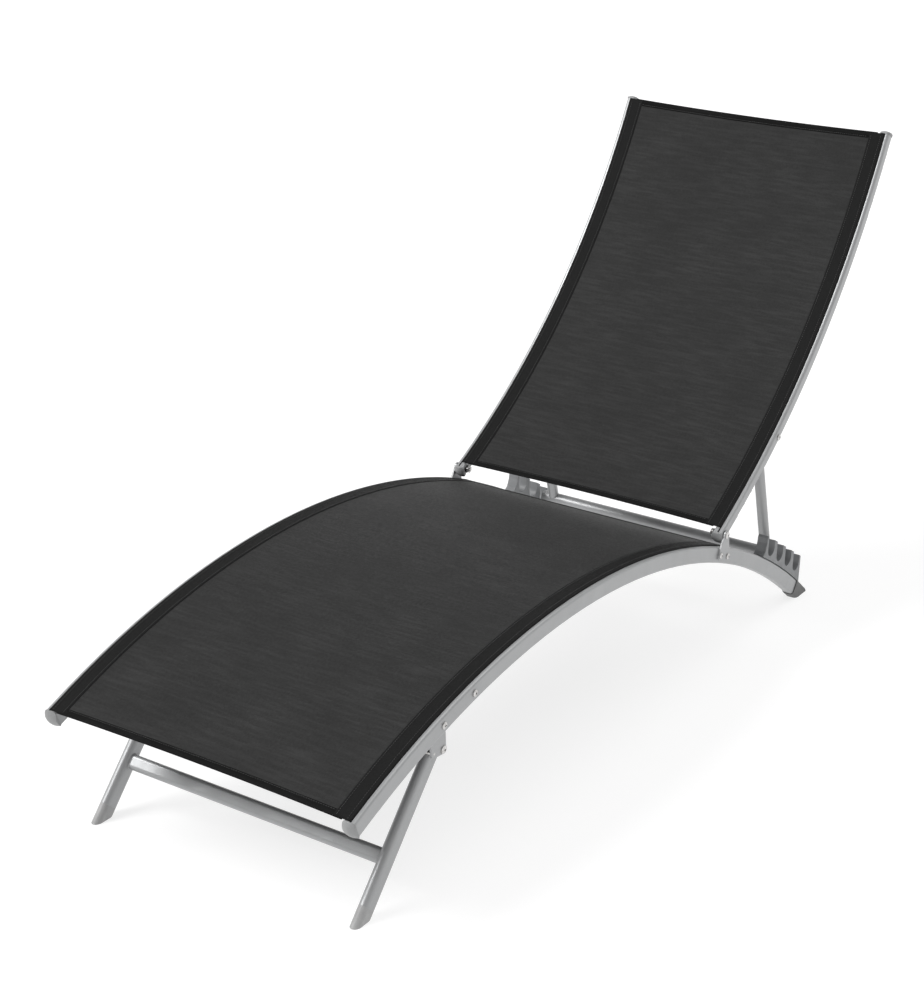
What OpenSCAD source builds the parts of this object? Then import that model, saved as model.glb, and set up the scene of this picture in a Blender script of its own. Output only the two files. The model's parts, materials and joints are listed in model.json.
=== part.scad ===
// Reclining sun lounger: arched seat frame, curved backrest, notched racks and folding front legs.
// +X is to the right, +Y runs from the foot end to the head end, +Z is up.
// The origin is on the ground, under the middle of the overall length and width.

/* [Seat frame] */
// Width of the sling between its two grooves
sling_w = 540; // [500:5:580]
// Radius of the arched seat rail, to its top face
arch_r = 1480; // [1470:1:1490]
// Height of the crown of the arch
crown_z = 320; // [317:1:323]
// Width of the seat rail
rail_w = 20; // [18:1:22]
// Depth of the seat rail
rail_d = 29; // [27:1:31]
// Wall of every tube
wall = 1.5; // [1.2:0.1:2]
// Diameter of the seat's cross bars
seat_bar_d = 18; // [16:1:20]

/* [Backrest] */
// Radius of the backrest curve, to its front face
back_r = 1394; // [1392:1:1396]
// Width of the backrest rail
back_w = 18; // [16:1:19]
// Depth of the backrest rail
back_d = 22; // [20:1:24]
// Diameter of the backrest's cross bars
back_bar_d = 16; // [14:1:18]

/* [Support stay] */
// Diameter of the stay's legs
stay_d = 20; // [18:1:21]
// Diameter of the bar that drops into a notch
prop_bar_d = 26; // [24:1:27]
// Distance of each stay leg from the middle
stay_x = 232; // [230:1:234]

/* [Notched racks] */
// Distance from one notch to the next
notch_pitch = 41; // [40:1:42]
// Width of a notch
notch_w = 29; // [28:1:31]

/* [Front legs] */
// Distance of each leg from the middle
leg_x = 240; // [238:1:241]
// Width of the flat oval leg tube, seen from the side
leg_d = 30; // [28:1:31]
// Thickness of the leg tube, seen from the front
leg_t = 17; // [15:1:18]
// Angle of the front legs above the ground
leg_tilt = 49; // [48:1:50]

/* [Hidden] */
$fn = 48;
arc_fn = 360;

// Places along the lounger are measured from the foot end of the seat sling.
foot_y = -851.38;

// Seat arch: one circular arc from the foot end, over the crown, down to the rear feet.
crown_y = 575;
arch_c = [crown_y, crown_z - arch_r];
seat_foot_a = 112.87;
seat_head_a = 68.8;
rail_foot_a = 112.91;
rail_head_a = 53.4;
rail_x = sling_w / 2 - 2;
groove_u = 2;
rail_round = 5;

// Sling cloth, its welt rod and the groove that holds them.
cloth_t = 1.2;
welt_r = 2.4;
loop_t = 0.9;
groove_r = 3.9;
groove_slot = 2.6;
groove_v = 6.8;
lift = 0.15;

// Backrest: one circular arc, hollow to the front.
back_c = [444, 1492];
back_x = sling_w / 2 - 2.5;
back_groove_u = 1;
back_low_a = -62.1;
back_top_a = -27.1;

// Points in the side view, as [distance from the foot end, height].
hinge_a = -62.25;
hinge_depth = 11.5;
stay_a = -52.75;
stay_depth = 14;
prop_p = [1389, 101];
leg_p = [241, 201];
bracket_bolt_y = 210;
front_bar_y = 288;
hinge_front_y = 1079;
hinge_rear_y = 1107;

// Clearances: a pin in its hole, and two moving parts side by side.
pin_gap = 0.08;
side_gap = 0.4;

// Fasteners.
bolt_r = 3;
pivot_r = 3.5;
head_h = 3.2;
nut_h = 5;
plate_t = 3;
// The corner rounds of a plate stand out by this much, so that no faces merely touch.
corner_lap = 0.05;
bar_depth = 16;
rail_bolt_depth = 14.5;

// A point on the seat arch, a given depth below its top face.
function arch_at(a, depth = 0) =
    arch_c + (arch_r - depth) * [cos(a), sin(a)];
function arch_angle(y, depth = 0) = acos((y - crown_y) / (arch_r - depth));
function arch_over(y, depth = 0) = arch_at(arch_angle(y, depth), depth);
// A point on the backrest curve, a given depth behind its front face.
function back_at(a, depth = 0) =
    back_c + (back_r + depth) * [cos(a), sin(a)];

hinge_p = back_at(hinge_a, hinge_depth);
stay_p = back_at(stay_a, stay_depth);
stay_dir = prop_p - stay_p;
stay_len = norm(stay_dir);
leg_axis = [cos(leg_tilt), sin(leg_tilt)];
leg_len = leg_p[1] / sin(leg_tilt);
leg_foot = leg_p - leg_len * leg_axis;

// ---- helpers -------------------------------------------------------------

// Everything is drawn from the foot end and moved so that the origin is in the middle.
module lounger() {
    translate([0, foot_y, 0]) children();
}

// Right-hand and left-hand copies.
module left() {
    mirror([1, 0, 0]) children();
}
module both() {
    children();
    left() children();
}

// Turns a shape drawn in the side view, extruded upward, so that it runs along +X.
module side_view() {
    rotate([90, 0, 90]) children();
}

// Sweeps a section, drawn as [radius, x], along an arc of the side view.
module sweep(centre, a0, a1, fn = arc_fn) {
    translate([0, centre[0], centre[1]])
        side_view()
            rotate([0, 0, a0])
                rotate_extrude(angle = a1 - a0, $fn = fn)
                    children();
}

// A round rod in the side view from p to q, at one distance from the middle.
module rod_between(p, q, x, r) {
    d = q - p;
    translate([x, p[0], p[1]])
        rotate([atan2(d[1], d[0]), 0, 0])
            rotate([-90, 0, 0])
                cylinder(h = norm(d), r = r);
}

// Half-round nose on the end of a tube, turned about an axis along X through its centre.
module nose(centre, facing, x, half_d) {
    sweep(centre, facing - 90, facing + 90, 48)
        intersection() {
            translate([0, x]) children();
            translate([0, x - 2 * half_d]) square([2 * half_d, 4 * half_d]);
        }
}

// A round bar along X through a point of the side view.
module cross_rod(p, x0, x1, r) {
    translate([x0, p[0], p[1]])
        rotate([0, 90, 0])
            cylinder(h = x1 - x0, r = r);
}

// A rectangle with true round corners, centred.
module round_rect(w, h, r) {
    square([w - 2 * r, h], center = true);
    square([w, h - 2 * r], center = true);
    for (sx = [-1, 1], sy = [-1, 1])
        translate([sx * (w / 2 - r), sy * (h / 2 - r)]) circle(r);
}

// A flat oval: two half circles joined by a rectangle.
module flat_oval(long, short) {
    square([long - short, short], center = true);
    for (s = [-1, 1]) translate([s * (long - short) / 2, 0]) circle(d = short);
}

// A flat plate lying in the side view: all that is within r of a convex polygon whose
// points run clockwise.
module round_plate(points, r, t) {
    n = len(points);
    sides = [
        for (i = [0 : n - 1])
            let (a = points[i], b = points[(i + 1) % n], along = (b - a) / norm(b - a))
                r * [-along[1], along[0]],
    ];
    linear_extrude(t)
        polygon([for (i = [0 : n - 1], p = [points[i], points[(i + 1) % n]]) p + sides[i]]);
    for (p = points) translate(p) cylinder(h = t, r = r + corner_lap);
}

// Rail section as [depth, across]: a hollow tube with a welt groove under its face.
module rail_section(w, d, groove) {
    difference() {
        translate([d / 2, 0]) round_rect(d, w, rail_round);
        difference() {
            translate([d / 2, 0])
                round_rect(d - 2 * wall, w - 2 * wall, rail_round - wall);
            translate([groove_v, groove]) circle(groove_r + wall);
            translate([0, groove - groove_slot / 2 - wall])
                square([groove_v, groove_slot + 2 * wall]);
        }
        translate([groove_v, groove]) circle(groove_r);
        translate([-1, groove - groove_slot / 2]) square([groove_v + 1, groove_slot]);
    }
}

// The same tube without its groove, solid, for pockets and plugs.
module rail_solid(w, d, grow = 0) {
    translate([d / 2, 0]) round_rect(d + 2 * grow, w + 2 * grow, rail_round + grow);
}

// Cloth section as [depth, across]: the sheet that lies over the rails.
module sling_section(half_w) {
    translate([-lift - cloth_t, -half_w - cloth_t / 2])
        square([cloth_t, 2 * half_w + cloth_t]);
}

// The cloth's edges: turned down through the grooves and closed round the welt rods.
module sling_edge_section(half_w) {
    loop_r = welt_r + loop_t;
    for (s = [-1, 1]) {
        translate([-lift, s * half_w - cloth_t / 2])
            square([lift + groove_v - welt_r - loop_t / 2, cloth_t]);
        translate([groove_v, s * half_w])
            difference() {
                circle(loop_r);
                circle(welt_r);
            }
    }
}

// Button-head bolt along +X: its head outside at x1, its shank reaching back to x0.
module bolt(p, x0, x1, r, head_r = 5.5) {
    difference() {
        union() {
            cross_rod(p, x0, x1 + 0.5, r);
            translate([x1, p[0], p[1]])
                rotate([0, 90, 0])
                    intersection() {
                        cylinder(h = head_h, r = head_r);
                        translate([0, 0, head_h - 2 * head_r]) sphere(2 * head_r);
                    }
        }
        translate([x1 + head_h - 2, p[0], p[1]])
            rotate([0, 90, 0]) cylinder(h = 3, r = 2, $fn = 6);
    }
}

// Hexagon nut on a bolt, between x0 and x1.
module nut(p, x0, x1, r) {
    difference() {
        translate([x0, p[0], p[1]])
            rotate([0, 90, 0]) cylinder(h = x1 - x0, r = 1.85 * r, $fn = 6);
        cross_rod(p, x0 - 1, x1 + 1, r);
    }
}

// Plain ring on a bolt, between x0 and x1.
module ring(p, x0, x1, outer, inner) {
    difference() {
        cross_rod(p, x0, x1, outer);
        cross_rod(p, x0 - 1, x1 + 1, inner);
    }
}

// ---- seat frame ----------------------------------------------------------

seat_in = rail_x - rail_w / 2;
seat_out = rail_x + rail_w / 2;
frame_bolt_points = [
    for (y = [bracket_bolt_y, front_bar_y, hinge_front_y, hinge_rear_y])
        arch_over(y, rail_bolt_depth),
];

module seat_rail() {
    difference() {
        sweep(arch_c, rail_head_a, rail_foot_a)
            translate([arch_r, rail_x]) mirror([1, 0]) rail_section(rail_w, rail_d, groove_u);
        for (p = frame_bolt_points)
            cross_rod(p, seat_in - 1, seat_out + 1, bolt_r);
        for (i = screw_notches) rack_screw(i);
    }
}
module seat_rail_right() { color("silver") lounger() seat_rail(); }
module seat_rail_left() { color("silver") lounger() left() seat_rail(); }

// Moulded plastic end cap: the tube's outline, a little larger, with a domed face.
cap_grow = 1;
dome_r = 22;
seat_cap_reach = 8;
back_cap_reach = 7;

// Sits on the tube end at angle a of a curve; turn is +1 or -1, the way it faces.
module end_cap(centre, mid_r, a, turn, x, reach) {
    degree = 180 / (PI * mid_r);
    tip_a = a + turn * (reach + 1) * degree;
    dome_a = a - turn * (dome_r - reach) * degree;
    dome_p = centre + mid_r * [cos(dome_a), sin(dome_a)];
    intersection() {
        sweep(centre, min(a, tip_a), max(a, tip_a)) children();
        translate([x, dome_p[0], dome_p[1]]) sphere(dome_r);
    }
}
module seat_end_cap() {
    end_cap(arch_c, arch_r - rail_d / 2, rail_foot_a, 1, rail_x, seat_cap_reach)
        translate([arch_r, rail_x]) mirror([1, 0]) rail_solid(rail_w, rail_d, cap_grow);
}
module seat_end_cap_right() { color("dimgray") lounger() seat_end_cap(); }
module seat_end_cap_left() { color("dimgray") lounger() left() seat_end_cap(); }

// Rubber boot on the rail's rear end, cut flat where it stands on the ground.
boot_grow = 1.7;
boot_front_a = 54.1;
boot_nose_a = 51.95;
boot_lap = 0.06;
boot_lip = 0.25;

module boot_sleeve() {
    sweep(arch_c, boot_nose_a - boot_lap, boot_front_a)
        translate([arch_r, rail_x]) mirror([1, 0]) rail_solid(rail_w, rail_d, boot_grow);
}
module rear_foot() {
    nose_grow = boot_grow + boot_lip;
    difference() {
        union() {
            boot_sleeve();
            nose(arch_at(boot_nose_a, rail_d / 2), boot_nose_a - 90, rail_x, rail_d)
                round_rect(rail_d + 2 * nose_grow, rail_w + 2 * nose_grow,
                           rail_round + nose_grow);
        }
        sweep(arch_c, rail_head_a, boot_front_a + 1)
            translate([arch_r, rail_x]) mirror([1, 0]) rail_solid(rail_w, rail_d);
        translate([0, arch_at(boot_nose_a)[0] - 250, -100]) cube([500, 500, 100]);
    }
}
module rear_foot_right() { color([0.25, 0.26, 0.27]) lounger() rear_foot(); }
module rear_foot_left() { color([0.25, 0.26, 0.27]) lounger() left() rear_foot(); }

// Cross bars: tubes with solid threaded ends for the bolts that hold them.
module cross_bar(p, half_len, d, bore) {
    insert = 16;
    difference() {
        cross_rod(p, -half_len, half_len, d / 2);
        cross_rod(p, -half_len + insert, half_len - insert, d / 2 - wall);
        if (bore)
            both() cross_rod(p, half_len - insert - 1, half_len + 1, bolt_r);
    }
}
seat_middle_y = 690;
bracket_in = seat_in - plate_t;

module seat_front_bar() {
    color("silver") lounger()
        cross_bar(frame_bolt_points[1], seat_in, seat_bar_d, true);
}
module seat_middle_bar() {
    color("silver") lounger()
        cross_bar(arch_over(seat_middle_y, bar_depth), seat_in, seat_bar_d, false);
}
module seat_rear_bar() {
    color("silver") lounger()
        cross_bar(frame_bolt_points[2], seat_in, seat_bar_d, true);
}

// Seat cloth and the welt rods that hold its edges in the grooves.
module seat_sling() {
    color([0.2, 0.2, 0.21]) lounger()
        sweep(arch_c, seat_head_a, seat_foot_a)
            translate([arch_r, 0]) mirror([1, 0]) sling_section(rail_x + groove_u);
}
module seat_sling_edges() {
    color([0.2, 0.2, 0.21]) lounger()
        sweep(arch_c, seat_head_a, seat_foot_a)
            translate([arch_r, 0]) mirror([1, 0]) sling_edge_section(rail_x + groove_u);
}
module seat_keder() {
    sweep(arch_c, seat_head_a, seat_foot_a)
        translate([arch_r - groove_v, rail_x + groove_u]) circle(welt_r);
}
module seat_keder_right() { color("black") lounger() seat_keder(); }
module seat_keder_left() { color("black") lounger() left() seat_keder(); }

// Notched rack: a moulded block on top of the rail with four open notches.
front_block = 6;
toe = 14;
toe_lip = 2;
toe_rise = 22;
crest_rise = 32;
rack_fall = 0.585;
notch_count = 4;
rest_notch = 2;
screw_notches = [1, 3];
screw_gap = 0.05;

function notch_centre(i) =
    prop_p + (i - rest_notch) * notch_pitch * [1, -rack_fall];

module rack_outline() {
    tooth = notch_pitch - notch_w;
    front_y = notch_centre(0)[0] - notch_w / 2 - front_block;
    rear_y = notch_centre(notch_count - 1)[0] + notch_w / 2 + tooth / 2;
    crest_z = notch_centre(0)[1] + crest_rise;
    toe_z = arch_over(front_y - toe)[1];
    polygon([
        [front_y - toe, 0],
        [front_y - toe, toe_z + toe_lip],
        [front_y - toe / 2, toe_z + toe_rise / 3],
        [front_y - 1, toe_z + toe_rise],
        [front_y, crest_z - 4],
        [front_y + 3, crest_z],
        [rear_y - 2, crest_z - (rear_y - front_y - 5) * rack_fall],
        [rear_y, crest_z - (rear_y - front_y - 1) * rack_fall],
        [rear_y, 0],
    ]);
}
module rack_block() {
    floor_z = (notch_w - prop_bar_d) / 2;
    side_view()
        translate([0, 0, seat_in])
            linear_extrude(rail_w)
                difference() {
                    rack_outline();
                    translate(arch_c) circle(arch_r, $fn = arc_fn * 4);
                    for (i = [0 : notch_count - 1])
                        translate(notch_centre(i) + [0, floor_z]) {
                            circle(d = notch_w);
                            translate([-notch_w / 2, 0]) square([notch_w, 90]);
                        }
                }
}
module notch_rack() {
    difference() {
        rack_block();
        for (i = screw_notches) rack_screw(i, screw_gap);
        boot_sleeve();
    }
}
module notch_rack_right() { color("gray") lounger() notch_rack(); }
module notch_rack_left() { color("gray") lounger() left() notch_rack(); }

// Countersunk screws through the floor of two notches, square to the rail.
module rack_screw(i, grow = 0) {
    length = 18;
    floor_p = notch_centre(i) - [0, prop_bar_d / 2 + 1];
    translate([rail_x, floor_p[0], floor_p[1]])
        rotate([arch_angle(floor_p[0]) - 90, 0, 0]) {
            translate([0, 0, -length]) cylinder(h = length, r = 2 + grow);
            translate([0, 0, -2.4]) cylinder(h = 2.4, r1 = 2 + grow, r2 = 4 + grow);
            if (grow > 0) cylinder(h = 12, r = 4 + grow);
        }
}
module rack_screws() {
    color("gainsboro") lounger() both() for (i = screw_notches) rack_screw(i);
}

// Hinge plate outside each rail: two bolts hold it, the third hole is the pivot.
hinge_plate_r = 8;
bracket_r = 7;
hinge_points = [frame_bolt_points[2], hinge_p, frame_bolt_points[3]];
module pierced_plate(points, r, x0, holes) {
    difference() {
        side_view()
            translate([0, 0, x0]) round_plate(points, r, plate_t);
        for (p = holes) cross_rod(p, x0 - 1, x0 + plate_t + 1, bolt_r);
    }
}
module hinge_plate() {
    difference() {
        pierced_plate(hinge_points, hinge_plate_r, seat_out,
                      [frame_bolt_points[2], frame_bolt_points[3]]);
        cross_rod(hinge_p, seat_out - 1, seat_out + plate_t + 1, pivot_r);
    }
}
module hinge_plate_right() { color("lightgray") lounger() hinge_plate(); }
module hinge_plate_left() { color("lightgray") lounger() left() hinge_plate(); }

// Bolts through each seat rail: leg bracket, front bar, and two on the hinge plate.
module frame_bolts() {
    reach = 12;
    hinge_out = seat_out + plate_t;
    color("gainsboro") lounger() both() {
        bolt(frame_bolt_points[0], bracket_in - nut_h - 1, seat_out, bolt_r);
        bolt(frame_bolt_points[1], seat_in - reach, seat_out, bolt_r);
        bolt(frame_bolt_points[2], seat_in - reach, hinge_out, bolt_r);
        bolt(frame_bolt_points[3], seat_in - nut_h - 1, hinge_out, bolt_r);
    }
}
module frame_nuts() {
    color("gainsboro") lounger() both() {
        nut(frame_bolt_points[0], bracket_in - nut_h, bracket_in, bolt_r);
        nut(frame_bolt_points[3], seat_in - nut_h, seat_in, bolt_r);
    }
}

// Backrest pivot: bolt, two washers and a lock nut on each side.
back_in = back_x - back_w / 2;
back_out = back_x + back_w / 2;
washer_t = 1.6;
washer_r = 7;
hinge_nut_x = back_in - side_gap - washer_t;

module hinge_pivot_bolt() {
    bolt(hinge_p, hinge_nut_x - nut_h - 1.5, seat_out + plate_t, pivot_r, 6.5);
}
module hinge_pivot_bolt_right() { color("gainsboro") lounger() hinge_pivot_bolt(); }
module hinge_pivot_bolt_left() { color("gainsboro") lounger() left() hinge_pivot_bolt(); }
module hinge_washers() {
    color("black") lounger() both() {
        ring(hinge_p, hinge_nut_x, hinge_nut_x + washer_t, washer_r, pivot_r);
        ring(hinge_p, back_out + side_gap, seat_out, washer_r, pivot_r);
    }
}
module hinge_pivot_nuts() {
    color("gainsboro") lounger() both()
        nut(hinge_p, hinge_nut_x - nut_h, hinge_nut_x, pivot_r);
}

// Leg bracket: a plate inside each rail that hangs down to the leg's pivot.
leg_out = leg_x + leg_t / 2;
leg_in = leg_x - leg_t / 2;
stud_r = 4;
stud_back = 13;
stop_p = leg_p - stud_back * leg_axis
    + (leg_d / 2 + stud_r + side_gap) * [-sin(leg_tilt), cos(leg_tilt)];

module leg_bracket() {
    difference() {
        pierced_plate([frame_bolt_points[0], arch_over(leg_p[0] - 6, rail_bolt_depth), leg_p,
                       stop_p],
                      bracket_r, bracket_in, [frame_bolt_points[0]]);
        cross_rod(leg_p, bracket_in - 1, seat_in + 1, pivot_r);
        cross_rod(stop_p, bracket_in - 1, seat_in + 1, stud_r / 2);
    }
}
module leg_bracket_right() { color("lightgray") lounger() leg_bracket(); }
module leg_bracket_left() { color("lightgray") lounger() left() leg_bracket(); }

// Studs that the open legs lean against, riveted through the brackets.
module leg_stop_studs() {
    color("gainsboro") lounger() both() {
        cross_rod(stop_p, leg_in + 2, bracket_in, stud_r);
        cross_rod(stop_p, bracket_in, seat_in, stud_r / 2);
    }
}
module leg_pivot_bolt() {
    bolt(leg_p, leg_in - side_gap - nut_h - 1.5, seat_in, pivot_r, 6.5);
}
module leg_pivot_bolt_right() { color("gainsboro") lounger() leg_pivot_bolt(); }
module leg_pivot_bolt_left() { color("gainsboro") lounger() left() leg_pivot_bolt(); }
module leg_pivot_bushes() {
    color("black") lounger() both()
        ring(leg_p, leg_out + side_gap, bracket_in, washer_r, pivot_r);
}
module leg_pivot_nuts() {
    color("gainsboro") lounger() both()
        nut(leg_p, leg_in - side_gap - nut_h, leg_in - side_gap, pivot_r);
}

// ---- backrest ------------------------------------------------------------

module backrest_rail() {
    difference() {
        sweep(back_c, cap_low_a, cap_top_a)
            translate([back_r, back_x]) rail_section(back_w, back_d, back_groove_u);
        cross_rod(hinge_p, back_in - 1, back_out + 1, pivot_r + pin_gap);
        cross_rod(stay_p, back_in - 1, back_out + 1, pivot_r);
    }
}
module backrest_rail_right() { color("silver") lounger() backrest_rail(); }
module backrest_rail_left() { color("silver") lounger() left() backrest_rail(); }

// The rails end a little below the pivot and just above the cloth.
tail = 8;
cap_low_a = hinge_a - tail * 180 / (PI * back_r);
cap_top_a = back_top_a + 0.03;

module backrest_cap(a, turn) {
    end_cap(back_c, back_r + back_d / 2, a, turn, back_x, back_cap_reach)
        translate([back_r, back_x]) rail_solid(back_w, back_d, cap_grow);
}
module backrest_lower_cap() { backrest_cap(cap_low_a, -1); }
module backrest_lower_cap_right() { color("dimgray") lounger() backrest_lower_cap(); }
module backrest_lower_cap_left() { color("dimgray") lounger() left() backrest_lower_cap(); }
module backrest_upper_cap() { backrest_cap(cap_top_a, 1); }
module backrest_upper_cap_right() { color("dimgray") lounger() backrest_upper_cap(); }
module backrest_upper_cap_left() { color("dimgray") lounger() left() backrest_upper_cap(); }

back_bar_depth = 14;
lower_bar_a = -58.5;
upper_bar_a = -29.5;
module backrest_lower_bar() {
    color("silver") lounger()
        cross_bar(back_at(lower_bar_a, back_bar_depth), back_in, back_bar_d, false);
}
module backrest_upper_bar() {
    color("silver") lounger()
        cross_bar(back_at(upper_bar_a, back_bar_depth), back_in, back_bar_d, false);
}
module backrest_sling() {
    color([0.2, 0.2, 0.21]) lounger()
        sweep(back_c, back_low_a, back_top_a)
            translate([back_r, 0]) sling_section(back_x + back_groove_u);
}
module backrest_sling_edges() {
    color([0.2, 0.2, 0.21]) lounger()
        sweep(back_c, back_low_a, back_top_a)
            translate([back_r, 0]) sling_edge_section(back_x + back_groove_u);
}
module backrest_keder() {
    sweep(back_c, back_low_a, back_top_a)
        translate([back_r + groove_v, back_x + back_groove_u]) circle(welt_r);
}
module backrest_keder_right() { color("black") lounger() backrest_keder(); }
module backrest_keder_left() { color("black") lounger() left() backrest_keder(); }

// Stay pivot: bolt through the backrest rail, bush, stay leg and nut.
stay_out = stay_x + stay_d / 2;
stay_in = stay_x - stay_d / 2;
module stay_pivot_bolt() {
    bolt(stay_p, stay_in - side_gap - nut_h - 1.5, back_out, pivot_r, 6);
}
module stay_pivot_bolt_right() { color("gainsboro") lounger() stay_pivot_bolt(); }
module stay_pivot_bolt_left() { color("gainsboro") lounger() left() stay_pivot_bolt(); }
module stay_pivot_bushes() {
    color("black") lounger() both()
        ring(stay_p, stay_out + side_gap, back_in, washer_r, pivot_r);
}
module stay_pivot_nuts() {
    color("gainsboro") lounger() both()
        nut(stay_p, stay_in - side_gap - nut_h, stay_in - side_gap, pivot_r);
}

// ---- support stay --------------------------------------------------------

prop_half_len = seat_in - 2.5;
prop_plug_t = 2.5;
stay_over = 7;
stay_unit = stay_dir / stay_len;

module stay_leg() {
    difference() {
        rod_between(stay_p - stay_over * stay_unit, prop_p, stay_x, stay_d / 2);
        rod_between(stay_p + stay_over * stay_unit, prop_p, stay_x, stay_d / 2 - wall);
        cross_rod(prop_p, stay_in - 1, stay_out + 1, prop_bar_d / 2);
        cross_rod(stay_p, stay_in - 1, stay_out + 1, pivot_r + pin_gap);
    }
}
module stay_leg_right() { color("silver") lounger() stay_leg(); }
module stay_leg_left() { color("silver") lounger() left() stay_leg(); }
module stay_bar() {
    color("silver") lounger() difference() {
        cross_rod(prop_p, -prop_half_len + prop_plug_t, prop_half_len - prop_plug_t,
                  prop_bar_d / 2);
        cross_rod(prop_p, -seat_in, seat_in, prop_bar_d / 2 - wall);
    }
}
// Plastic plugs in both ends of the bar.
module stay_bar_plugs() {
    insert = 10;
    color("dimgray") lounger() both() {
        cross_rod(prop_p, prop_half_len - prop_plug_t, prop_half_len, prop_bar_d / 2);
        cross_rod(prop_p, prop_half_len - prop_plug_t - insert, prop_half_len - prop_plug_t,
                  prop_bar_d / 2 - wall);
    }
}
// Domed caps on the upper ends of the stay legs.
module stay_leg_caps() {
    top = stay_p - stay_over * stay_unit;
    cap_t = 2.5;
    color("dimgray") lounger() both()
        rod_between(top - cap_t * stay_unit, top, stay_x, stay_d / 2);
}

// ---- front legs ----------------------------------------------------------

leg_seam = 22;
leg_over = 8;
leg_cap_t = 2.5;
leg_bar_at = 96;
leg_bar_w = 24;
leg_bar_t = 13;

// The leg's own frame: its foot at the origin, its axis upward.
module leg_frame(x = 0) {
    translate([x, leg_foot[0], leg_foot[1]]) rotate([leg_tilt - 90, 0, 0]) children();
}
module leg_outline(shrink = 0) {
    rotate(90) flat_oval(leg_d - 2 * shrink, leg_t - 2 * shrink);
}
module leg_tube() {
    difference() {
        leg_frame(leg_x)
            translate([0, 0, leg_seam])
                linear_extrude(leg_len + leg_over - leg_seam) leg_outline();
        leg_frame(leg_x)
            translate([0, 0, leg_seam - 1])
                linear_extrude(leg_len + leg_over - leg_seam + 2) leg_outline(wall);
        cross_rod(leg_p, leg_in - 1, leg_out + 1, pivot_r + pin_gap);
    }
}
module leg_tube_right() { color("silver") lounger() leg_tube(); }
module leg_tube_left() { color("silver") lounger() left() leg_tube(); }

// Plastic foot, cut level with the ground.
module leg_foot_plug() {
    below = 40;
    difference() {
        leg_frame(leg_x)
            translate([0, 0, -below]) linear_extrude(below + leg_seam) leg_outline();
        translate([0, leg_foot[0] - 200, -200]) cube([400, 400, 200]);
    }
}
module leg_foot_right() { color("gray") lounger() leg_foot_plug(); }
module leg_foot_left() { color("gray") lounger() left() leg_foot_plug(); }

// Plastic lid on the upper end of each leg.
module leg_top_cap() {
    leg_frame(leg_x)
        translate([0, 0, leg_len + leg_over]) linear_extrude(leg_cap_t) leg_outline();
}
module leg_top_cap_right() { color("gray") lounger() leg_top_cap(); }
module leg_top_cap_left() { color("gray") lounger() left() leg_top_cap(); }

module leg_cross_bar() {
    color("silver") lounger() leg_frame()
        translate([-leg_in, 0, leg_bar_at])
            rotate([0, 90, 0])
                difference() {
                    linear_extrude(2 * leg_in) flat_oval(leg_bar_w, leg_bar_t);
                    translate([0, 0, wall])
                        linear_extrude(2 * leg_in - 2 * wall)
                            flat_oval(leg_bar_w - 2 * wall, leg_bar_t - 2 * wall);
                }
}

// ---- placing -------------------------------------------------------------

seat_rail_left();
seat_rail_right();
seat_end_cap_left();
seat_end_cap_right();
rear_foot_left();
rear_foot_right();
seat_front_bar();
seat_middle_bar();
seat_rear_bar();
seat_sling();
seat_sling_edges();
seat_keder_left();
seat_keder_right();
notch_rack_left();
notch_rack_right();
rack_screws();
hinge_plate_left();
hinge_plate_right();
frame_bolts();
frame_nuts();
hinge_pivot_bolt_left();
hinge_pivot_bolt_right();
hinge_washers();
hinge_pivot_nuts();
leg_bracket_left();
leg_bracket_right();
leg_stop_studs();
leg_pivot_bolt_left();
leg_pivot_bolt_right();
leg_pivot_bushes();
leg_pivot_nuts();
backrest_rail_left();
backrest_rail_right();
backrest_lower_cap_left();
backrest_lower_cap_right();
backrest_upper_cap_left();
backrest_upper_cap_right();
backrest_lower_bar();
backrest_upper_bar();
backrest_sling();
backrest_sling_edges();
backrest_keder_left();
backrest_keder_right();
stay_pivot_bolt_left();
stay_pivot_bolt_right();
stay_pivot_bushes();
stay_pivot_nuts();
stay_leg_left();
stay_leg_right();
stay_bar();
stay_bar_plugs();
stay_leg_caps();
leg_tube_left();
leg_tube_right();
leg_cross_bar();
leg_foot_left();
leg_foot_right();
leg_top_cap_left();
leg_top_cap_right();
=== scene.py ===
"""The looks of a reclining sun lounger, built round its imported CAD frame.

Everything is in metres in the frame's own axes: +X to the right, +Y towards the head end, +Z up.
The two slings are made here as sewn cloth, and every CAD node gets a worked-out finish.
"""

import json
import math

import bpy
from mathutils import Matrix, Vector, noise


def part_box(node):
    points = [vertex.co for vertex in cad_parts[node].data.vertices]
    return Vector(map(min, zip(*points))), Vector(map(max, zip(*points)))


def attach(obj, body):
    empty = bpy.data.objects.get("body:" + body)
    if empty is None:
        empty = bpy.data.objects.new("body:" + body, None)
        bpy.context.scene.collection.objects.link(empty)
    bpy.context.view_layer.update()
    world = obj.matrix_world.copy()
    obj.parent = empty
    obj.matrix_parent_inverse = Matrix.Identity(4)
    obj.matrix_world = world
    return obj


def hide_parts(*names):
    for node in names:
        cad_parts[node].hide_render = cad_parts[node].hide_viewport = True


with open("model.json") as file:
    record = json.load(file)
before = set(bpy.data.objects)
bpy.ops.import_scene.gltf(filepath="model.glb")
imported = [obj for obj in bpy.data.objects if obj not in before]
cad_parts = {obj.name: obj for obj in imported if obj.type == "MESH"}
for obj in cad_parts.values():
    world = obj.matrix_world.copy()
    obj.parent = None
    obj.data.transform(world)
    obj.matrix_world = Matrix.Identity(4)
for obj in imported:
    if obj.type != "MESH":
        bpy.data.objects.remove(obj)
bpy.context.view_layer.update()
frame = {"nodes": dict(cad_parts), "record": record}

nodes = frame["nodes"]

# Y of the foot end of the seat sling. The CAD source measures places along the lounger from it.
FOOT_END = -0.85138

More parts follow.
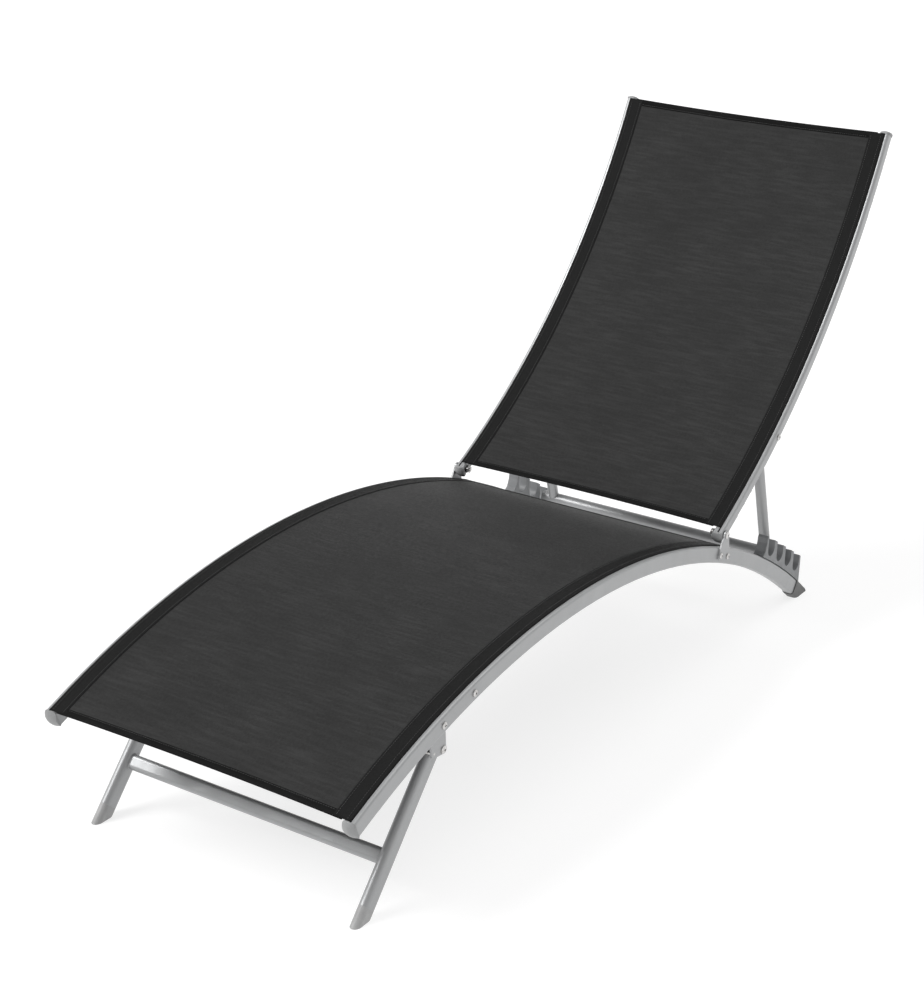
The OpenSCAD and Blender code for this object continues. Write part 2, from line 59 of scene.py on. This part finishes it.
CLOTH = 0.0007          # thickness of one layer of sling cloth
CLEAR = 0.0003          # gap between the cloth and the rail under it
BAND_WIDTH = 0.028      # doubled side band, from the groove inwards
HEM_WIDTH = 0.011       # turned hem at each free end
SAG = 0.0022            # how far the middle of a sling hangs below its edges
SAG_FADE = 0.16         # the sag dies away over this length towards a free end
SCALLOP = 0.004         # how far a free end bows inwards
RIPPLE = 0.0009         # unevenness of the sagging cloth
STITCH_PITCH = 0.0042   # from one stitch to the next
ROWS = 150              # steps along a sling from end to end
BEAD = 0.0014           # radius of a weld bead
WELT_WRAP = 0.0030      # radius of the cloth wrapped round a welt rod
WELT_DEPTH = 0.0068     # depth of a welt rod's middle below the face of its rail
LEG_BAR = (0.024, 0.013)        # the legs' cross bar: a flat oval, its long way along the legs
LEG_TILT = math.radians(49)     # slope of the front legs above +Y
PAINT_TINT = -0.012     # the silver paint is very slightly cool


# ---------------------------------------------------------------- shapes of the two slings


class Arc:
    """A circular arc of the side view, half_width from its middle to a groove.

    side is +1 where its face looks away from the centre, and -1 where it looks towards it."""

    def __init__(self, centre, radius, start, end, side, half_width):
        self.centre, self.radius, self.side = centre, radius, side
        self.start, self.end = math.radians(start), math.radians(end)
        self.half = half_width
        self.length = radius * abs(self.end - self.start)

    def place(self, x, along, height):
        """The point x across, some way along the face from its lower end, and a height above it."""
        angle = self.start + (self.end - self.start) * along / self.length
        r = self.radius + self.side * height
        return Vector((x, self.centre[0] + r * math.cos(angle), self.centre[1] + r * math.sin(angle)))

    def hang(self, x, along):
        """How far the stretched cloth lies above the face: it sags between the rails."""
        free = self.half - 0.013
        if abs(x) >= free:
            return 0.0
        across = 1 - (x / free) ** 2
        inwards = max(0.0, min(along, self.length - along)) / SAG_FADE
        across *= min(1.0, inwards) ** 0.7
        ripple = noise.noise(Vector((x * 9, along * 3.2, self.radius))) * RIPPLE
        return (ripple - SAG) * across

    def row(self, x, t):
        """Distance along the face at share t of the cloth's length; the free ends bow inwards."""
        bow = SCALLOP * max(0.0, 1 - (x / self.half) ** 2)
        return bow + t * (self.length - 2 * bow)


# Centre, radius and end angles of each rail's face, as in the CAD source.
seat_arc = Arc((0.575 + FOOT_END, -1.160), 1.480, 112.87, 68.8, 1, 0.2700)
back_arc = Arc((0.444 + FOOT_END, 1.492), 1.394, -62.1, -27.1, -1, 0.2685)


def mesh_object(name, points, faces, uvs=None, smooth=True):
    """A new mesh object. uvs gives one (u, v) for each point."""
    mesh = bpy.data.meshes.new(name)
    mesh.from_pydata([tuple(p) for p in points], [], faces)
    if uvs:
        layer = mesh.uv_layers.new(name="cloth")
        for loop in mesh.loops:
            layer.data[loop.index].uv = uvs[loop.vertex_index]
    mesh.polygons.foreach_set("use_smooth", [smooth] * len(mesh.polygons))
    mesh.update()
    piece = bpy.data.objects.new(name, mesh)
    bpy.context.scene.collection.objects.link(piece)
    return piece


def cloth_strip(name, arc, profile, shares):
    """A strip of cloth along the arc: profile holds (x, height), shares the rows along it."""
    points, uvs, faces = [], [], []
    across = [0.0]
    for (x0, h0), (x1, h1) in zip(profile, profile[1:]):
        across.append(across[-1] + math.hypot(x1 - x0, h1 - h0))
    for t in shares:
        for (x, height), u in zip(profile, across):
            along = arc.row(x, t)
            points.append(arc.place(x, along, height + arc.hang(x, along)))
            uvs.append((u, along))
    columns = len(profile)
    for r in range(len(shares) - 1):
        for c in range(columns - 1):
            i = r * columns + c
            faces.append((i, i + 1, i + columns + 1, i + columns))
    piece = mesh_object(name, points, faces, uvs)
    thick = piece.modifiers.new("layer", "SOLIDIFY")
    thick.thickness, thick.offset = CLOTH, 0
    apply_modifiers(piece)
    return piece


def apply_modifiers(piece):
    """Bakes a piece's modifiers into its mesh."""
    ready = bpy.data.meshes.new_from_object(piece.evaluated_get(bpy.context.evaluated_depsgraph_get()))
    piece.modifiers.clear()
    old, piece.data = piece.data, ready
    bpy.data.meshes.remove(old)


def spread(low, high, count):
    """count + 1 numbers evenly from low to high."""
    return [low + (high - low) * i / count for i in range(count + 1)]


def turned_down(arc, height, radius, turn):
    """Profile points over the groove's lip, down its slot and round the welt rod, on the +X side."""
    points = [(arc.half - 0.0012, height), (arc.half - 0.0004, height - 0.0003),
              (arc.half, height - 0.0011), (arc.half, radius - WELT_DEPTH)]
    steps = 14
    for i in range(1, steps + 1):
        angle = math.radians(90 - turn * i / steps)
        points.append((arc.half + radius * math.cos(angle),
                       radius * math.sin(angle) - WELT_DEPTH))
    return points


def mirrored(profile):
    return [(-x, h) for x, h in reversed(profile)]


def sling_sheet(name, arc):
    """The whole sheet, from the welt in one rail's groove to the welt in the other's."""
    height = CLEAR + CLOTH / 2
    edge = turned_down(arc, height, WELT_WRAP, 330)
    middle = [(x, height) for x in spread(-arc.half + 0.003, arc.half - 0.003, 72)]
    return cloth_strip(name, arc, mirrored(edge) + middle + edge, spread(0, 1, ROWS))


def side_band(name, arc, side):
    """The doubled edge on top of the sheet, turned down into the groove with it."""
    height = CLEAR + 1.5 * CLOTH + 0.0001
    inner = arc.half - BAND_WIDTH
    profile = [(inner - 0.0004, height - CLOTH * 0.6), (inner, height - 0.0001)]
    profile += [(x, height) for x in spread(inner + 0.001, arc.half - 0.002, 12)]
    profile += [(arc.half - 0.0002, height - 0.0002), (arc.half + 0.0006, height - 0.0012),
                (arc.half + 0.0007, height - 0.0035)]
    return cloth_strip(name, arc, profile if side > 0 else mirrored(profile), spread(0, 1, ROWS))


def end_hem(name, arc, far):
    """The hem at a free end: the cloth folded under itself, with a round edge."""
    reach = HEM_WIDTH / arc.length
    over, under = CLEAR + 1.5 * CLOTH, CLEAR - CLOTH
    fold = []
    for i in range(9):
        angle = math.pi * i / 8
        middle, half = (over + under) / 2, (over - under) / 2
        fold.append((-0.0016 * math.sin(angle) / arc.length, middle + half * math.cos(angle)))
    path = [(reach, over - 0.0005), (reach * 0.96, over)] + fold + [(reach, under)]
    columns = spread(-arc.half + 0.014, arc.half - 0.014, 60)
    points, uvs, faces = [], [], []
    for t, height in path:
        for x in columns:
            along = arc.row(x, 1 - t if far else t)
            points.append(arc.place(x, along, height + arc.hang(x, along)))
            uvs.append((x, along + height))
    count = len(columns)
    for r in range(len(path) - 1):
        for c in range(count - 1):
            i = r * count + c
            faces.append((i, i + 1, i + count + 1, i + count))
    piece = mesh_object(name, points, faces, uvs)
    thick = piece.modifiers.new("layer", "SOLIDIFY")
    thick.thickness, thick.offset = CLOTH * 0.6, 0
    apply_modifiers(piece)
    return piece


def stitch_row(points, faces, path):
    """Adds one thread stitch for each pair of ends in path: (from, to, outward)."""
    around, width, rise = 6, 0.00042, 0.00034
    for start, end, outward in path:
        forward = (end - start).normalized()
        aside = forward.cross(outward).normalized()
        first = len(points)
        for share, swell in ((0.0, 0.25), (0.18, 0.85), (0.5, 1.0), (0.82, 0.85), (1.0, 0.25)):
            centre = start.lerp(end, share) + outward * (rise * (swell - 0.6))
            for k in range(around):
                turn = 2 * math.pi * k / around
                points.append(centre + swell * (aside * (width * math.cos(turn))
                                                + outward * (rise * math.sin(turn))))
        for ring in range(4):
            for k in range(around):
                a = first + ring * around + k
                b = first + ring * around + (k + 1) % around
                faces.append((a, b, b + around, a + around))
        faces.append(tuple(first + k for k in reversed(range(around))))
        faces.append(tuple(first + 4 * around + k for k in range(around)))


def stitching(name, arc):
    """The rows of sewing: two along each side band and one along each end hem."""
    points, faces = [], []
    top = CLEAR + 2 * CLOTH + 0.0002

    def outward_at(x, s):
        return (arc.place(x, s, 1) - arc.place(x, s, 0)).normalized()

    def along_the_side(x):
        row = []
        for i in range(int(arc.length / STITCH_PITCH) - 1):
            ends = [arc.row(x, (i + k) * STITCH_PITCH / arc.length) for k in (0.55, 1.25)]
            a, b = (arc.place(x, s, top + arc.hang(x, s)) for s in ends)
            row.append((a, b, outward_at(x, ends[0])))
        return row

    def across_the_end(t, height):
        row = []
        reach = arc.half - BAND_WIDTH - 0.002
        for i in range(int(2 * reach / STITCH_PITCH)):
            xs = [-reach + (i + k) * STITCH_PITCH for k in (0.15, 0.85)]
            a, b = (arc.place(x, arc.row(x, t), height + arc.hang(x, arc.row(x, t))) for x in xs)
            row.append((a, b, outward_at(xs[0], arc.row(xs[0], t))))
        return row

    for side in (-1, 1):
        for inset in (0.006, BAND_WIDTH - 0.0035):
            stitch_row(points, faces, along_the_side(side * (arc.half - inset)))
    share = (HEM_WIDTH - 0.0025) / arc.length
    for t in (share, 1 - share):
        stitch_row(points, faces, across_the_end(t, CLEAR + 1.8 * CLOTH))
    return mesh_object(name, points, faces)


def weld_bead(name, loop, body):
    """A closed bead of weld along a loop of points in a plane across X."""
    around, count = 8, len(loop)
    aside = Vector((1, 0, 0))
    points, faces = [], []
    for i, place in enumerate(loop):
        forward = (Vector(loop[(i + 1) % count]) - Vector(loop[i - 1])).normalized()
        outward = forward.cross(aside)
        for k in range(around):
            turn = 2 * math.pi * k / around
            points.append(Vector(place) + BEAD * (aside * math.cos(turn) + outward * math.sin(turn)))
    for i in range(count):
        for k in range(around):
            j, m = (i + 1) % count, (k + 1) % around
            faces.append((i * around + k, i * around + m, j * around + m, j * around + k))
    piece = mesh_object(name, points, faces)
    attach(piece, body)
    return piece


def oval_loop(centre, long, short, tilt, steps=48):
    """Points round a flat oval in a plane across X; long lies along the tilt above +Y."""
    along = Vector((0, math.cos(tilt), math.sin(tilt)))
    across = Vector((0, -math.sin(tilt), math.cos(tilt)))
    straight = (long - short) / 2
    loop = []
    for i in range(steps):
        a = 2 * math.pi * (i + 0.5) / steps
        shift = straight if math.cos(a) > 0 else -straight
        loop.append(centre + along * (shift + short / 2 * math.cos(a))
                    + across * (short / 2 * math.sin(a)))
    return loop


# ---------------------------------------------------------------- finishes


class Look:
    """A procedural material, with short ways to add the nodes that it needs."""

    def __init__(self, name, roughness, metallic=0.0, **sockets):
        self.material = bpy.data.materials.new(name)
        self.material.use_nodes = True
        self.tree = self.material.node_tree
        self.shader = self.tree.nodes["Principled BSDF"]
        self.shader.inputs["Roughness"].default_value = roughness
        self.shader.inputs["Metallic"].default_value = metallic
        for socket, value in sockets.items():
            self.shader.inputs[socket.replace("_", " ")].default_value = value
        self.space = self.add("ShaderNodeTexCoord")

    def add(self, kind, **settings):
        node = self.tree.nodes.new(kind)
        for key, value in settings.items():
            setattr(node, key, value)
        return node

    def feed(self, socket, value):
        if isinstance(value, bpy.types.NodeSocket):
            self.tree.links.new(value, socket)
        elif value is not None:
            socket.default_value = value

    def maths(self, operation, *values):
        node = self.add("ShaderNodeMath", operation=operation)
        for socket, value in zip(node.inputs, values):
            self.feed(socket, value)
        return node.outputs[0]

    def noise(self, scale, detail=3.0, stretch=(1, 1, 1)):
        """Noise over the object's own metres: scale 1000 has features of about a millimetre."""
        place = self.add("ShaderNodeMapping")
        place.inputs["Scale"].default_value = stretch
        self.feed(place.inputs["Vector"], self.space.outputs["Object"])
        node = self.add("ShaderNodeTexNoise")
        self.feed(node.inputs["Vector"], place.outputs[0])
        node.inputs["Scale"].default_value = scale
        node.inputs["Detail"].default_value = detail
        return node.outputs[0]

    def between(self, value, low, high, from_low=0.3, from_high=0.7):
        """value, spread from one range to another and held inside it."""
        node = self.add("ShaderNodeMapRange", clamp=True)
        for socket, number in zip(node.inputs, (value, from_low, from_high, low, high)):
            self.feed(socket, number)
        return node.outputs[0]

    def blend(self, share, first, second):
        node = self.add("ShaderNodeMix", data_type="RGBA")
        self.feed(node.inputs[0], share)
        self.feed(node.inputs[6], first)
        self.feed(node.inputs[7], second)
        return node.outputs[2]

    def edges(self, radius):
        """(1 near sharp edges and 0 on flats, the rounded normal)."""
        bevel = self.add("ShaderNodeBevel", samples=4)
        bevel.inputs["Radius"].default_value = radius
        true = self.add("ShaderNodeNewGeometry")
        dot = self.add("ShaderNodeVectorMath", operation="DOT_PRODUCT")
        self.feed(dot.inputs[0], bevel.outputs[0])
        self.feed(dot.inputs[1], true.outputs["Normal"])
        return self.between(dot.outputs["Value"], 1.0, 0.0, 0.80, 0.985), bevel.outputs[0]

    def bump(self, height, distance, normal=None):
        node = self.add("ShaderNodeBump")
        node.inputs["Strength"].default_value = 1.0
        node.inputs["Distance"].default_value = distance
        self.feed(node.inputs["Height"], height)
        self.feed(node.inputs["Normal"], normal)
        return node.outputs[0]

    def finish(self, colour=None, roughness=None, normal=None):
        self.feed(self.shader.inputs["Base Color"], colour)
        self.feed(self.shader.inputs["Roughness"], roughness)
        self.feed(self.shader.inputs["Normal"], normal)
        return self.material


def grey(value, warm=0.0):
    return (value * (1 + warm), value, value * (1 - warm), 1.0)


def painted(name, value):
    """Silver-grey powder coat: fine flake, faint orange peel, a little wear on the edges."""
    look = Look(name, 0.4, 0.45, Coat_Weight=0.12, Coat_Roughness=0.3)
    worn, rounded = look.edges(0.0008)
    flake = look.between(look.noise(2600, 1), 0.86, 1.08)
    drift = look.between(look.noise(5, 3), 0.95, 1.04)
    tone = look.maths("MULTIPLY", flake, drift)
    colour = look.blend(look.maths("MULTIPLY", tone, 0.5), grey(value * 0.45, PAINT_TINT),
                        grey(value * 1.5, PAINT_TINT))
    scuffed = look.maths("MULTIPLY", worn, look.between(look.noise(60, 4), 0.0, 0.8, 0.45, 0.62))
    colour = look.blend(scuffed, colour, grey(value * 1.35, 0.01))
    rough = look.between(look.noise(38, 5), 0.36, 0.46)
    peel = look.bump(look.noise(850, 2), 0.00003, rounded)
    return look.finish(colour, rough, peel)


def moulded(name, value, roughness, grain=0.00004, warm=0.0):
    """Moulded plastic or rubber: a fine grain, a mottled tone and paler rubbed edges."""
    look = Look(name, roughness)
    worn, rounded = look.edges(0.001)
    mottle = look.between(look.noise(45, 5), 0.0, 1.0)
    colour = look.blend(mottle, grey(value * 0.88, warm), grey(value * 1.1, warm))
    speck = look.between(look.noise(900, 2), 0.0, 0.25, 0.5, 0.7)
    colour = look.blend(speck, colour, grey(value * 1.35, warm))
    rubbed = look.maths("MULTIPLY", worn, look.between(look.noise(120, 3), 0.1, 0.7))
    colour = look.blend(rubbed, colour, grey(value * 1.6 + 0.01, warm))
    rough = look.between(look.noise(70, 4), roughness - 0.07, roughness + 0.08)
    return look.finish(colour, rough, look.bump(look.noise(1600, 2), grain, rounded))


def plated(name, value):
    """Zinc-plated steel: turned rings are too fine to draw, so brushed streaks and dull spots."""
    look = Look(name, 0.3, 1.0)
    worn, rounded = look.edges(0.0005)
    streak = look.noise(900, 3, (1, 0.12, 0.12))
    dull = look.between(look.noise(260, 4), 0.0, 1.0, 0.4, 0.65)
    colour = look.blend(dull, grey(value, 0.01), grey(value * 0.72, 0.03))
    colour = look.blend(look.maths("MULTIPLY", worn, 0.5), colour, grey(value * 1.1))
    rough = look.between(dull, 0.26, 0.46, 0.0, 1.0)
    return look.finish(colour, rough, look.bump(streak, 0.00002, rounded))


def woven(name, value, gloss, pitch=0.0013, one_tone=False):
    """Plain weave of coated yarn, drawn from the cloth's own metres.

    one_tone keeps the relief of the yarns and leaves out their tones."""
    look = Look(name, 0.62, 0.0, Sheen_Weight=gloss / 7,
                Sheen_Roughness=0.5, Specular_IOR_Level=gloss)
    spot = look.add("ShaderNodeSeparateXYZ")
    look.feed(spot.inputs[0], look.space.outputs["UV"])
    u, v = (look.maths("DIVIDE", spot.outputs[i], pitch) for i in (0, 1))

    def yarn(across, along, shift):
        """Height of the yarns that run one way: round in section, over and under by turns."""
        lane = look.maths("FLOOR", across)
        off = look.maths("SUBTRACT", look.maths("SUBTRACT", across, lane), 0.5)
        squared = look.maths("MULTIPLY", look.maths("MULTIPLY", off, off), 4.0)
        crown = look.maths("SUBTRACT", 1.0, squared)
        phase = look.maths("ADD", look.maths("ADD", along, lane), shift)
        wave = look.maths("SINE", look.maths("MULTIPLY", phase, math.pi))
        return look.maths("ADD", crown, look.maths("MULTIPLY", wave, 0.7))

    warp, weft = yarn(u, v, 0.0), yarn(v, u, 1.0)
    height = look.maths("MAXIMUM", warp, weft)
    colour = grey(value) if one_tone else heathered(look, value, warp, weft, height)
    rough = look.between(look.noise(240, 3), 0.54, 0.72)
    return look.finish(colour, rough, look.bump(height, 0.00016))


def heathered(look, value, warp, weft, height):
    """The tones of a weave: two sets of yarns with painted sheen, dark gaps with painted shade,
    flecks, slubs and faint clouds.
    """
    # Painted sheen: where warp yarns lie on top they are lighter, and where weft yarns do they are
    # darker.
    warp_sheen = look.between(look.maths("SUBTRACT", warp, weft), 0.0, 1.0, -0.2, 0.2)
    colour = look.blend(warp_sheen, grey(value * 0.86), grey(value * 1.16, 0.01))
    # The low spots between the yarns are darker: partly the open holes of the weave, partly painted
    # shade in the crevices.
    holes_and_shade = look.between(height, 0.85, 0.0, 0.25, 1.0)
    colour = look.blend(holes_and_shade, colour, grey(value * 0.25))
    fleck = look.between(look.noise(330, 3), 0.0, 0.55, 0.45, 0.75)
    colour = look.blend(fleck, colour, grey(value * 1.5))
    slub = look.between(look.noise(190, 3, (0.10, 1, 1)), 0.0, 0.6, 0.42, 0.68)
    colour = look.blend(slub, colour, grey(value * 1.7))
    cloud = look.between(look.noise(11, 4), 0.0, 0.5)
    return look.blend(cloud, colour, grey(value * 0.7))


def thread(name, value):
    """Twisted sewing thread."""
    look = Look(name, 0.55, 0.0, Sheen_Weight=0.2)
    twist = look.noise(4200, 1)
    colour = look.blend(look.between(twist, 0.0, 1.0), grey(value * 0.7), grey(value * 1.3))
    return look.finish(colour, look.between(look.noise(700, 2), 0.48, 0.66), look.bump(twist, 0.00005))


looks = {
    "frame_paint": painted("silver_powder_coat", 0.36),
    "plate_steel": painted("silver_plate_coat", 0.37),
    "cap_plastic": moulded("grey_cap_plastic", 0.25, 0.48, warm=-0.01),
    "leg_plastic": moulded("pale_leg_plastic", 0.32, 0.46),
    "rack_plastic": moulded("grey_rack_plastic", 0.20, 0.52, warm=-0.025),
    "foot_rubber": moulded("dark_boot_rubber", 0.11, 0.62, 0.00006),
    "black_nylon": moulded("black_nylon", 0.018, 0.42),
    "welt_rod": moulded("black_welt", 0.015, 0.5),
    "zinc_steel": plated("zinc_plate", 0.62),
    "sling_cloth": woven("sling_weave", 0.0230, 0.13),
}
# The doubled band and the folded hem are darker than the single sheet: painted shade for the light
# that shines through one layer of cloth but not through two.
band_look = woven("band_weave", 0.0105, 0.07, one_tone=True)
hem_look = woven("hem_weave", 0.008, 0.05)
thread_look = thread("sewing_thread", 0.020)

slot_of = {row["node"]: row["material_slot"] for row in frame["record"]["subparts"]}
for name, node in nodes.items():
    node.data.materials.clear()
    node.data.materials.append(looks[slot_of[name]])


# ---------------------------------------------------------------- slings, welds


def make_sling(part, arc, body):
    """One sling with its bands, hems and stitching, riding on its body."""
    sheet = sling_sheet(f"{part}_cloth", arc)
    bands = [side_band(f"{part}_band_right", arc, 1), side_band(f"{part}_band_left", arc, -1)]
    hems = [end_hem(f"{part}_hem_low", arc, False), end_hem(f"{part}_hem_high", arc, True)]
    trims = [*bands, *hems]
    sewing = stitching(f"{part}_stitching", arc)
    sheet.data.materials.append(looks["sling_cloth"])
    sewing.data.materials.append(thread_look)
    for pieces, look in ((bands, band_look), (hems, hem_look)):
        for trim in pieces:
            trim.data.materials.append(look)
    for piece in (sheet, sewing, *trims):
        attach(piece, body)
    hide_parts(f"{part}_sling", f"{part}_sling_edges")


make_sling("seat", seat_arc, "seat_frame")
make_sling("backrest", back_arc, "backrest")

for bar, body in (("seat_middle_bar", "seat_frame"), ("backrest_lower_bar", "backrest"),
                  ("backrest_upper_bar", "backrest")):
    low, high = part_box(bar)
    size = high.z - low.z
    for side, x in (("left", low.x), ("right", high.x)):
        centre = Vector((x, (low.y + high.y) / 2, (low.z + high.z) / 2))
        bead = weld_bead(f"{bar}_weld_{side}", oval_loop(centre, size, size, 0), body)
        bead.data.materials.append(looks["frame_paint"])

low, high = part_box("leg_cross_bar")
for side, x in (("left", low.x), ("right", high.x)):
    centre = Vector((x, (low.y + high.y) / 2, (low.z + high.z) / 2))
    bead = weld_bead(f"leg_bar_weld_{side}", oval_loop(centre, *LEG_BAR, LEG_TILT), "front_legs")
    bead.data.materials.append(looks["frame_paint"])


# ---------------------------------------------------------------- floor, light and camera


def pale_floor():
    """A plain pale floor, just under the feet. It gives off some light to stay near white."""
    reach = 30
    floor = mesh_object("floor", [(-reach, -reach, 0), (reach, -reach, 0), (reach, reach, 0),
                                  (-reach, reach, 0)], [(0, 1, 2, 3)])
    floor.location.z = -0.0002
    look = Look("pale_floor", 0.7, Emission_Strength=0.76)
    tone = look.between(look.noise(0.8, 2), 0.0, 1.0)
    floor.data.materials.append(look.finish(look.blend(tone, grey(0.29), grey(0.31))))


def sun(name, azimuth, elevation, strength, softness):
    """A sun whose light comes from an azimuth and elevation. All three angles are in degrees."""
    lamp = bpy.data.lights.new(name, "SUN")
    lamp.energy, lamp.angle = strength, math.radians(softness)
    lit = bpy.data.objects.new(name, lamp)
    lit.matrix_world = aim(azimuth, elevation)
    bpy.context.scene.collection.objects.link(lit)


def aim(azimuth, elevation, roll=0.0):
    """Turns something that looks along its own -Z to look from an azimuth and elevation."""
    return (Matrix.Rotation(math.radians(azimuth), 4, "Z")
            @ Matrix.Rotation(math.radians(90 - elevation), 4, "X")
            @ Matrix.Rotation(math.radians(roll), 4, "Z"))


def studio_world(horizon, overhead):
    """White light all round, at one strength near the horizon and another overhead."""
    world = bpy.data.worlds.new("studio")
    bpy.context.scene.world = world
    world.use_nodes = True
    tree = world.node_tree
    back = tree.nodes["Background"]
    back.inputs["Color"].default_value = (1.0, 1.0, 1.0, 1.0)
    space = tree.nodes.new("ShaderNodeTexCoord")
    spot = tree.nodes.new("ShaderNodeSeparateXYZ")
    fade = tree.nodes.new("ShaderNodeMapRange")
    fade.interpolation_type = "SMOOTHSTEP"
    # The first two are the sine of the elevation at which the change starts and ends.
    for socket, value in (("From Min", 0.16), ("From Max", 0.50),
                          ("To Min", horizon), ("To Max", overhead)):
        fade.inputs[socket].default_value = value
    tree.links.new(space.outputs["Generated"], spot.inputs[0])
    tree.links.new(spot.outputs["Z"], fade.inputs["Value"])
    tree.links.new(fade.outputs["Result"], back.inputs["Strength"])


pale_floor()
sun("key", azimuth=-52, elevation=46, strength=2.5, softness=30)
sun("rim", azimuth=150, elevation=60, strength=0.9, softness=50)
studio_world(horizon=1.05, overhead=0.34)
bpy.context.scene.view_settings.view_transform = "Standard"

# Azimuth, elevation and roll in degrees.
LENS_MM, SENSOR_MM = 72.38, 36
CAMERA_AT = (1.6224, -2.7302, 1.5849)
CAMERA_TURN = (32.40, 21.68, 1.646)

lens = bpy.data.cameras.new("camera")
lens.lens, lens.sensor_width, lens.clip_end = LENS_MM, SENSOR_MM, 100
camera = bpy.data.objects.new("camera", lens)
camera.matrix_world = Matrix.Translation(CAMERA_AT) @ aim(*CAMERA_TURN)
bpy.context.scene.collection.objects.link(camera)
bpy.context.scene.camera = camera
